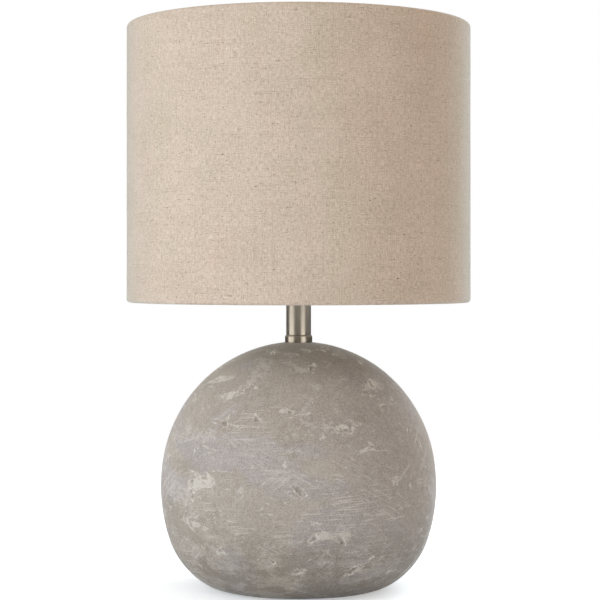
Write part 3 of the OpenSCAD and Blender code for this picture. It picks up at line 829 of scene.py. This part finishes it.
def make_felt():
    """The felt disc, with a rounded edge and an uneven underside."""
    low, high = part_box("base_felt_pad")
    radius = high[0]
    edge = 0.0006
    top = high[2]
    outline = [(0, top), (radius * 0.5, top), (radius - edge, top)]
    outline += arc((radius - edge, top - edge), edge, 80, 0, 4)
    outline += arc((radius - edge, low[2] + edge), edge, 0, -90, 4)
    outline += [(radius * share, low[2]) for share in np.linspace(0.97, 0, 26)]
    mesh = lathe("felt", outline, 200)
    for vertex in mesh.vertices:
        if vertex.co.z < low[2] + 0.0002:
            vertex.co.z += 0.00012 * abs(noise.noise(vertex.co * 160))
    pad = stands_for("base_felt_pad", "felt_disc", mesh, 40)


# Harp and spider


def make_harp():
    """The harp's two wires, from their feet in the saddle to the plate on top."""
    low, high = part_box("harp_wire_right")
    wire = 0.002
    foot = 0.0334
    flare = 35
    half_width = high[0] - wire
    crown = high[2] - wire
    plate_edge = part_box("harp_top_plate")[1][0]
    leg_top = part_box("harp_saddle")[0][2] + 0.0345
    bend = (half_width - foot) / (2 * (1 - math.cos(math.radians(flare))))
    corner = half_width - plate_edge - wire
    waist = leg_top + 2 * bend * math.sin(math.radians(flare))
    path = [(foot, low[2]), (foot, low[2] + 0.0004)]
    path += arc((foot + bend, leg_top), bend, 180, 180 - flare, 12)
    path += arc((half_width - bend, waist), bend, -flare, 0, 12)
    path += arc((plate_edge + wire, crown - corner), corner, 0, 90, 30)
    path += [(plate_edge, crown)]
    radii = [wire - 0.0004] + [wire] * (len(path) - 1)
    for side, node in ((-1, "harp_wire_left"), (1, "harp_wire_right")):
        mesh = swept(node, [(side * x, 0.0, z) for x, z in path], radii, 24)
        stands_for(node, node + "_bent", mesh, 50)


def make_arms():
    """The spider's arms, from the hub out and up to the top ring, with a bead of weld at each end."""
    wire = 0.0014
    hub_low, hub_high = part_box("spider_hub")
    hub = hub_high[0]
    ring_low, ring_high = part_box("shade_top_ring")
    ring = (ring_high[0] - wire, ring_low[2] + wire)
    height = (hub_low[2] + hub_high[2]) / 2
    bend_at = 0.104
    bend = 0.012
    slope = math.degrees(math.atan2(ring[1] - height, ring[0] - bend_at))
    path = [(hub + away, height) for away in (-0.0006, 0.001, 0.0024)]
    path += arc((bend_at, height + bend), bend, -90, slope - 90, 8)
    end = np.array(ring)
    unit = end - np.array(path[-1])
    unit /= np.linalg.norm(unit)
    path += [tuple(end - unit * back) for back in (0.0040, 0.0026, 0.0012)]
    radii = [wire * 1.5, wire * 1.35] + [wire] * (len(path) - 4) + [wire * 1.1, wire * 1.4]
    for name, direction in (("back", 90), ("left", 210), ("right", 330)):
        turn = math.radians(direction)
        node = f"spider_arm_{name}"
        mesh = swept(node, [(r * math.cos(turn), r * math.sin(turn), z) for r, z in path], radii)
        stands_for(node, node + "_rod", mesh, 50)


# Hardware

def softened(outline, reach):
    """A closed outline with its corners rounded, as far as the lengths beside them allow."""
    points = [Vector(point) for point in outline]
    soft = []
    for i, point in enumerate(points):
        before = points[i - 1] - point
        after = points[(i + 1) % len(points)] - point
        if point.x < 1e-6 or before.angle(-after) < math.radians(22):
            soft.append(tuple(point))
            continue
        size = min(reach, 0.4 * before.length, 0.4 * after.length)
        first = point + before.normalized() * size
        last = point + after.normalized() * size
        for t in (0, 0.25, 0.5, 0.75, 1):
            soft.append(tuple((1 - t) ** 2 * first + 2 * t * (1 - t) * point + t * t * last))
    return soft


def turned_piece(node, name, outline, edge=0.0002, segments=128, x=0.0):
    """A turned piece that stands for a CAD node, with its edges eased."""
    mesh = lathe(name, softened(outline, edge), segments, closed=True)
    mesh.transform(Matrix.Translation((x, 0, 0)))
    return stands_for(node, name, mesh)


def band(inner, outer, low, high):
    """Outline of a plain ring."""
    return [(inner, low), (outer, low), (outer, high), (inner, high)]


def eased_piece(node, name, edge=0.00025):
    """A copy of a CAD node with its sharp edges eased."""
    mesh = frame["nodes"][node].data.copy()
    mesh.materials.clear()
    flat = math.radians(1)
    keen = math.radians(40)
    with edited(mesh) as work:
        bmesh.ops.remove_doubles(work, verts=work.verts, dist=MERGE)
        bmesh.ops.dissolve_limit(work, angle_limit=flat, verts=work.verts, edges=work.edges)
        edges = [e for e in work.edges if e.is_manifold and e.calc_face_angle() > keen]
        settings = {"offset": edge, "segments": 2, "profile": 0.5, "clamp_overlap": True}
        bmesh.ops.bevel(work, geom=edges, affect="EDGES", **settings)
        bmesh.ops.triangulate(work, faces=[face for face in work.faces if len(face.verts) > 4])
    stands_for(node, name, mesh)


def make_neck():
    """The collar on the ball, the tube, and the cap on top of it."""
    bore = 0.0051
    low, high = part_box("neck_collar")
    outer = high[0]
    shoulder = 0.0016
    outline = [(bore, low[2]), (outer, low[2])]
    outline += arc((outer - shoulder, high[2] - shoulder), shoulder, 0, 90, 10)
    outline += [(bore, high[2])]
    turned_piece("neck_collar", "neck_collar_turned", outline)

    low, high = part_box("neck_tube")
    inner = high[0] - 0.001
    turned_piece("neck_tube", "neck_tube_brushed", band(inner, high[0], low[2], high[2]), 0.00025)
    seat = high[2]

    low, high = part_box("neck_top_cap")
    spigot = inner - 0.00005
    outline = [(bore, low[2]), (spigot, low[2]), (spigot, seat), (high[0], seat)]
    outline += [(high[0], high[2] - 0.0008), (high[0] - 0.0008, high[2]), (bore, high[2])]
    turned_piece("neck_top_cap", "neck_cap_turned", outline, 0.0003)


def make_socket():
    """The socket's spun shell with a bead under its rim, and the cap that it snaps into."""
    low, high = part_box("socket_shell")
    outer = high[0] - 0.0004
    inner = outer - 0.0007
    rim = high[2] - 0.0008
    bead = high[2] - 0.0052
    outline = [(inner, low[2]), (outer, low[2]), (outer, bead - 0.0009)]
    outline += [(outer + 0.00035, bead - 0.0004), (outer + 0.00035, bead + 0.0004)]
    outline += [(outer, bead + 0.0009), (outer, rim), (high[0], rim), (high[0], high[2]), (inner, high[2])]
    shell = turned_piece("socket_shell", "socket_shell_spun", outline, 0.00015)
    key_low, key_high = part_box("switch_key")
    switch_height = (key_low[2] + key_high[2]) / 2
    cut(shell, rod_along_y("shaft_hole", 0.0036, -0.03, -0.002, 0, switch_height))
    shell.data.set_sharp_from_angle(angle=math.radians(35))

    low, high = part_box("socket_cap")
    bore = 0.00505
    sheet = 0.0007
    hub = 0.008
    dome = high[0] - hub
    spring = (hub, low[2] + 0.0035 + dome)
    outline = [(bore, low[2]), (hub, low[2]), (hub, spring[1] - dome)]
    outline += arc(spring, dome, -84, 0, 24)
    outline += [(high[0], high[2]), (high[0] - sheet, high[2])]
    outline += arc(spring, dome - sheet, 0, -84, 24)
    outline += [(hub - 0.001, spring[1] - dome + sheet), (hub - 0.001, low[2] + 0.0075)]
    outline += [(bore, low[2] + 0.0075)]
    cap = turned_piece("socket_cap", "socket_cap_spun", outline, 0.00015)
    screw_hole = rod_along_y("screw_hole", 0.0011, -0.02, 0, 0, low[2] + 0.00175)
    screw_hole.data.transform(Matrix.Rotation(math.pi / 2, 4, "Z"))
    cut(cap, screw_hole)
    cap.data.set_sharp_from_angle(angle=math.radians(35))
    eased_piece("harp_saddle", "harp_saddle_pressed", 0.0003)
    eased_piece("saddle_nut", "saddle_nut_faced", 0.0003)


def make_key():
    """The switch's moulded turn key: a flat grip with rounded edges and finger ridges, on a round shank."""
    low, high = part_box("switch_key")
    centre = (low[2] + high[2]) / 2
    half = high[0]
    corner = 0.004
    grip = 0.016
    thickness = 0.0036
    edge = 0.0008
    outline = []
    for x, y, first in ((1, 1, 0), (-1, 1, 90), (-1, 0, 180), (1, 0, 270)):
        place = (x * (half - corner), low[1] + corner + y * (grip - 2 * corner))
        outline += arc(place, corner, first, first + 90, 10)
    outline = np.array(outline)
    middle = np.array((0.0, low[1] + grip / 2))
    rows = []
    for angle in np.radians(np.linspace(-90, 90, 11)):
        inset = edge * (1 - math.cos(angle))
        side = np.sign(round(math.sin(angle), 6))
        height = centre + (side * (thickness / 2 - edge) + edge * math.sin(angle))
        shrink = (1 - inset / half, 1 - 2 * inset / grip)
        rows.append([(x, y, height) for x, y in middle + (outline - middle) * shrink])
    foot = [(*middle, rows[0][0][2])] * len(outline)
    top = [(*middle, rows[-1][0][2])] * len(outline)
    mesh = grid_mesh("key", np.array([foot, *rows, top]), False, True)
    key = stands_for("switch_key", "switch_key_moulded", mesh)

    inner_end = -0.0335
    shank_radius = 0.0036
    shank = [(0, inner_end), (shank_radius, inner_end), (shank_radius, high[1]), (0, high[1])]
    shank = lathe("shank", softened(shank, 0.0004), 64)
    shank.transform(laid_along_y(0, centre))
    combine(key, loose("shank", shank), "UNION")
    cut(key, rod_along_y("shaft_bore", 0.00205, high[1] - 0.009, high[1] + 0.003, 0, centre))
    margin = 0.003
    span = (low[1] + margin, low[1] + grip - margin)
    for i in range(5):
        x = half * (-0.72 + 0.115 * i)
        for side in (-1, 1):
            for face in (-1, 1):
                z = centre + face * (thickness / 2 + 0.00035)
                cut(key, rod_along_y("groove", 0.0006, *span, side * x, z))
    smooth(key.data, 35)


def threaded(radius, wall, pitch, depth, first, last, sides=96, per_turn=16):
    """Grid of points over a rolled thread, screwed round the Z axis, that fades in over a pitch at both ends.

    With a wall, the points go on down its inner face.
    """
    rows = int((last - first) / pitch * per_turn) + 1
    heights = np.linspace(first, last, rows)
    angles = np.linspace(0, 2 * math.pi, sides, endpoint=False)
    fade = np.clip(np.minimum(heights - first, last - heights) / pitch, 0, 1)
    fade = fade * fade * (3 - 2 * fade)
    phase = 2 * math.pi * heights[:, None] / pitch - angles[None, :]
    radii = radius + depth * (fade[:, None] * 0.5 * (np.cos(phase) - 1))
    if wall:
        radii = np.vstack([radii, (radii - wall)[::-1]])
        heights = np.concatenate([heights, heights[::-1]])
    return ring_points(radii, heights, angles)


def make_bulb():
    """The bulb: a rolled screw base, the flared housing and the frosted globe."""
    low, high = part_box("bulb_screw_base")
    wall, pitch, depth = 0.0005, 0.0036, 0.0008
    points = threaded(high[0], wall, pitch, depth, low[2], high[2])
    mesh = grid_mesh("bulb_screw_base_rolled", points, True, True)
    stands_for("bulb_screw_base", "bulb_screw_base_rolled", mesh, 60)

    low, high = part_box("bulb_housing")
    globe, side, globe_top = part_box("bulb_diffuser")[1]
    wall = 0.0015
    flare = 0.047
    radius = 0.0132
    meets = math.acos((flare + radius) / (flare + globe))
    centre = (flare + radius, low[2] - 0.00005 + 0.0023)
    outline = [(radius - wall, low[2]), (radius, low[2])]
    outline += arc(centre, flare, 180, 180 - math.degrees(meets), 32)
    outline += arc(centre, flare + wall, 180 - math.degrees(meets), 180, 32)
    turned_piece("bulb_housing", "bulb_housing_moulded", outline, 0.0002)

    middle = (0.0, globe_top - globe)
    first = 0.3 - math.degrees(meets)
    outline = arc(middle, globe, first, 90, 48) + arc(middle, globe - wall, 90, first, 48)
    turned_piece("bulb_diffuser", "bulb_globe_frosted", outline, 0.0002)


def make_finial():
    """The finial: a knurled foot, a waist and a ball, bored for the stud."""
    low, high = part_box("finial")
    knob = 0.007
    knob_height = high[2] - knob
    waist = 0.0046
    bore = 0.00325
    depth = low[2] + 0.0115
    start = -math.degrees(math.acos(waist / knob))
    foot = [(bore, low[2]), (0.0066, low[2]), (0.007, low[2] + 0.0004), (0.007, low[2] + 0.0017)]
    outline = foot + [(0.0065, low[2] + 0.0022), (waist + 0.0006, low[2] + 0.0027)]
    outline += [(waist, low[2] + 0.0034)] + arc((0.0, knob_height), knob, start, 90, 36)
    outline += [(0.0, depth), (bore, depth)]
    soft = softened(outline, 0.00018)
    segments = 288
    mesh = lathe("finial", soft, segments, closed=True)
    for vertex in mesh.vertices:
        x, y, z = vertex.co
        reach = math.hypot(x, y)
        share = min(1.0, max(0.0, (reach - 0.00665) / 0.0003))
        if z < low[2] + 0.0021 and share > 0:
            tooth = 0.5 - 0.5 * math.cos(48 * math.atan2(y, x))
            scale = 1 - share * 0.00028 * tooth / reach
            vertex.co = (x * scale, y * scale, z)
    stands_for("finial", "finial_knurled", mesh, 50)


def make_stud():
    """The harp's brass stud: its rivet head, its flange and a rolled thread."""
    low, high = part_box("harp_stud")
    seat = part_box("spider_hub")[0][2] - 0.0003
    journal = 0.0025
    head = 0.0042
    head_top = low[2] + 0.0015
    flange = 0.007
    flange_foot = seat - 0.002
    thread = 0.00317
    pitch = 0.00094
    depth = 0.0004
    plain = [(0, low[2]), (head, low[2]), (head, head_top), (journal, head_top)]
    plain += [(journal, flange_foot), (flange, flange_foot), (flange, seat), (thread - 0.0002, seat)]
    sides = 96
    angles = np.linspace(0, 2 * math.pi, sides, endpoint=False)
    below = ring_points(*np.array(softened(plain, 0.0003)).T, angles)
    rolled = threaded(thread, 0, pitch, depth, seat + 0.0006, high[2] - 0.0004, sides, 10)
    tip = ring_points([thread - 0.0007, 0.0], [high[2], high[2]], angles)
    mesh = grid_mesh("stud", np.vstack([below, rolled, tip]), False, True)
    stands_for("harp_stud", "harp_stud_threaded", mesh, 60)


def make_fittings():
    """The harp's sleeves and plate, the spider's hub, the shade's rings and the cord bush."""
    for node in ("harp_sleeve_left", "harp_sleeve_right"):
        low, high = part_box(node)
        outer = (high[0] - low[0]) / 2
        inner = outer - 0.0007
        outline = [(inner, low[2]), (outer, low[2]), (outer, high[2] - 0.0022)]
        outline += [(outer - 0.00025, high[2] - 0.0019), (outer - 0.00025, high[2] - 0.0014)]
        outline += [(outer, high[2] - 0.0011), (outer, high[2]), (inner, high[2])]
        turned_piece(node, node + "_turned", outline, 0.0002, 96, (low[0] + high[0]) / 2)
    eased_piece("harp_top_plate", "harp_plate_eased", 0.0004)
    low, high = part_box("spider_hub")
    turned_piece("spider_hub", "spider_hub_pressed", band(0.004, high[0], low[2], high[2]), 0.0004)
    for node in ("shade_top_ring", "shade_bottom_ring"):
        low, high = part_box(node)
        wire = (high[2] - low[2]) / 2
        outline = arc((high[0] - wire, low[2] + wire), wire, 0, 360, 20)[:-1]
        mesh = lathe(node, outline, 256, closed=True)
        stands_for(node, node + "_wire", mesh)
    low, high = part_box("cord_grommet")
    bore, barrel, flange, lip = 0.0036, 0.0049, 0.0062, 0.0058
    shoulder = high[1] - 0.00155
    outline = [(bore, low[1]), (barrel, low[1]), (lip, low[1] + 0.0008), (lip, low[1] + 0.0016)]
    outline += [(barrel, low[1] + 0.002), (barrel, shoulder), (flange, shoulder)]
    outline += [(flange, high[1] - 0.0006), (flange - 0.0006, high[1]), (bore, high[1])]
    mesh = lathe("bush", softened(outline, 0.0004), 96, closed=True)
    mesh.transform(laid_along_y(0, (low[2] + high[2]) / 2))
    stands_for("cord_grommet", "cord_bush_moulded", mesh)


# Camera, light and stage

KEY = 11.8
KEY_COLOUR = (0.84, 1.0, 1.15)
AMBIENT = 0.72
AMBIENT_COLOUR = (1.0, 0.905, 0.815)
MIDDLE = Vector((0, 0, 0.22))


def make_camera():
    """The camera at the photo's viewing angle."""
    data = bpy.data.cameras.new("camera")
    data.sensor_width = 36
    data.lens = 107.9
    data.shift_x = 0.0023
    data.shift_y = -0.0499
    camera = bpy.data.objects.new("camera", data)
    camera.location = (0, -1.3348, 0.2342)
    camera.rotation_euler = (math.pi / 2, 0, 0)
    show(camera)
    bpy.context.scene.camera = camera


def soft_box(name, azimuth, width, power, colour, diffuse=True, glossy=True, height=0.45):
    """A tall softbox at an azimuth from the camera's side, in degrees, positive to the right."""
    distance = 1.5
    turn = math.radians(azimuth)
    data = bpy.data.lights.new(name, "AREA")
    data.shape = "RECTANGLE"
    data.size = width
    data.size_y = 1.3
    data.energy = power
    data.color = colour
    light = bpy.data.objects.new(name, data)
    light.location = (distance * math.sin(turn), -distance * math.cos(turn), height)
    light.visible_camera = False
    light.visible_diffuse = diffuse
    light.visible_glossy = glossy
    show(light)
    light.rotation_euler = (MIDDLE - light.location).to_track_quat("-Z", "Y").to_euler()


def make_world():
    """White for the camera, a soft even light on everything, and a dark room in the metal's reflections."""
    world = bpy.data.worlds.new("studio")
    bpy.context.scene.world = world
    world.use_nodes = True
    tree = world.node_tree
    tree.nodes.clear()

    def background(colour, strength):
        made = tree.nodes.new("ShaderNodeBackground")
        made.inputs["Color"].default_value = (*colour, 1)
        made.inputs["Strength"].default_value = strength
        return made.outputs[0]

    def choose(ray, otherwise, chosen):
        mix = tree.nodes.new("ShaderNodeMixShader")
        tree.links.new(path.outputs[ray], mix.inputs[0])
        tree.links.new(otherwise, mix.inputs[1])
        tree.links.new(chosen, mix.inputs[2])
        return mix.outputs[0]

    path = tree.nodes.new("ShaderNodeLightPath")
    room = background(AMBIENT_COLOUR, AMBIENT)
    room = choose("Is Glossy Ray", room, background((1, 0.96, 0.93), 0.04))
    room = choose("Is Camera Ray", room, background((1, 1, 1), 1.0))
    out = tree.nodes.new("ShaderNodeOutputWorld")
    tree.links.new(room, out.inputs["Surface"])


def make_floor():
    """Pale floor that fades into the white round the set."""
    rings = [(radius, 0.0) for radius in np.linspace(0, 1.2, 25)]
    mesh = lathe("floor", rings, 96)
    floor = show(bpy.data.objects.new("floor", mesh))
    f = Finish("pale_floor")
    away = f.from_the_axis()
    tone = f.noise(f.object_place, 3, 2, 0.5)
    seen = f.node("ShaderNodeLightPath").outputs["Is Camera Ray"]
    f.set(
        Base_Color=f.mix(tone, srgb(232, 238, 244), srgb(236, 242, 248)),
        Roughness=0.9,
        Emission_Color=(1, 1, 1, 1),
        Emission_Strength=f.times(seen, 0.45),
        Alpha=f.step(away, 1.1, 0.35),
    )
    f.set(Specular_IOR_Level=0.1)
    mesh.materials.append(f.material)


def make_studio():
    make_world()
    soft_box("key", -48, 0.9, KEY, KEY_COLOUR, glossy=False, height=0.32)
    soft_box("key_in_the_metal", -68, 1.5, 16, (1, 0.98, 0.93), diffuse=False)
    soft_box("fill_in_the_metal", 42, 1.1, 12, (1, 0.97, 0.91), diffuse=False)
    soft_box("right_rim", 142, 0.6, 20.0, (0.82, 0.92, 1.0), glossy=False, height=0.8)
    soft_box("left_rim", -142, 0.6, 3.5, (0.8, 0.95, 1.0), glossy=False)
    make_floor()


# Everything in its place

bpy.context.scene.view_settings.view_transform = "Standard"
bpy.context.scene.view_settings.look = "None"
for node, slot in SLOTS.items():
    for material_slot in frame["nodes"][node].material_slots:
        material_slot.material = FINISHES[slot]

make_camera()
make_ball()
make_felt()
make_drum()
make_harp()
make_arms()
make_neck()
make_socket()
make_key()
make_bulb()
make_stud()
make_finial()
make_fittings()
make_studio()
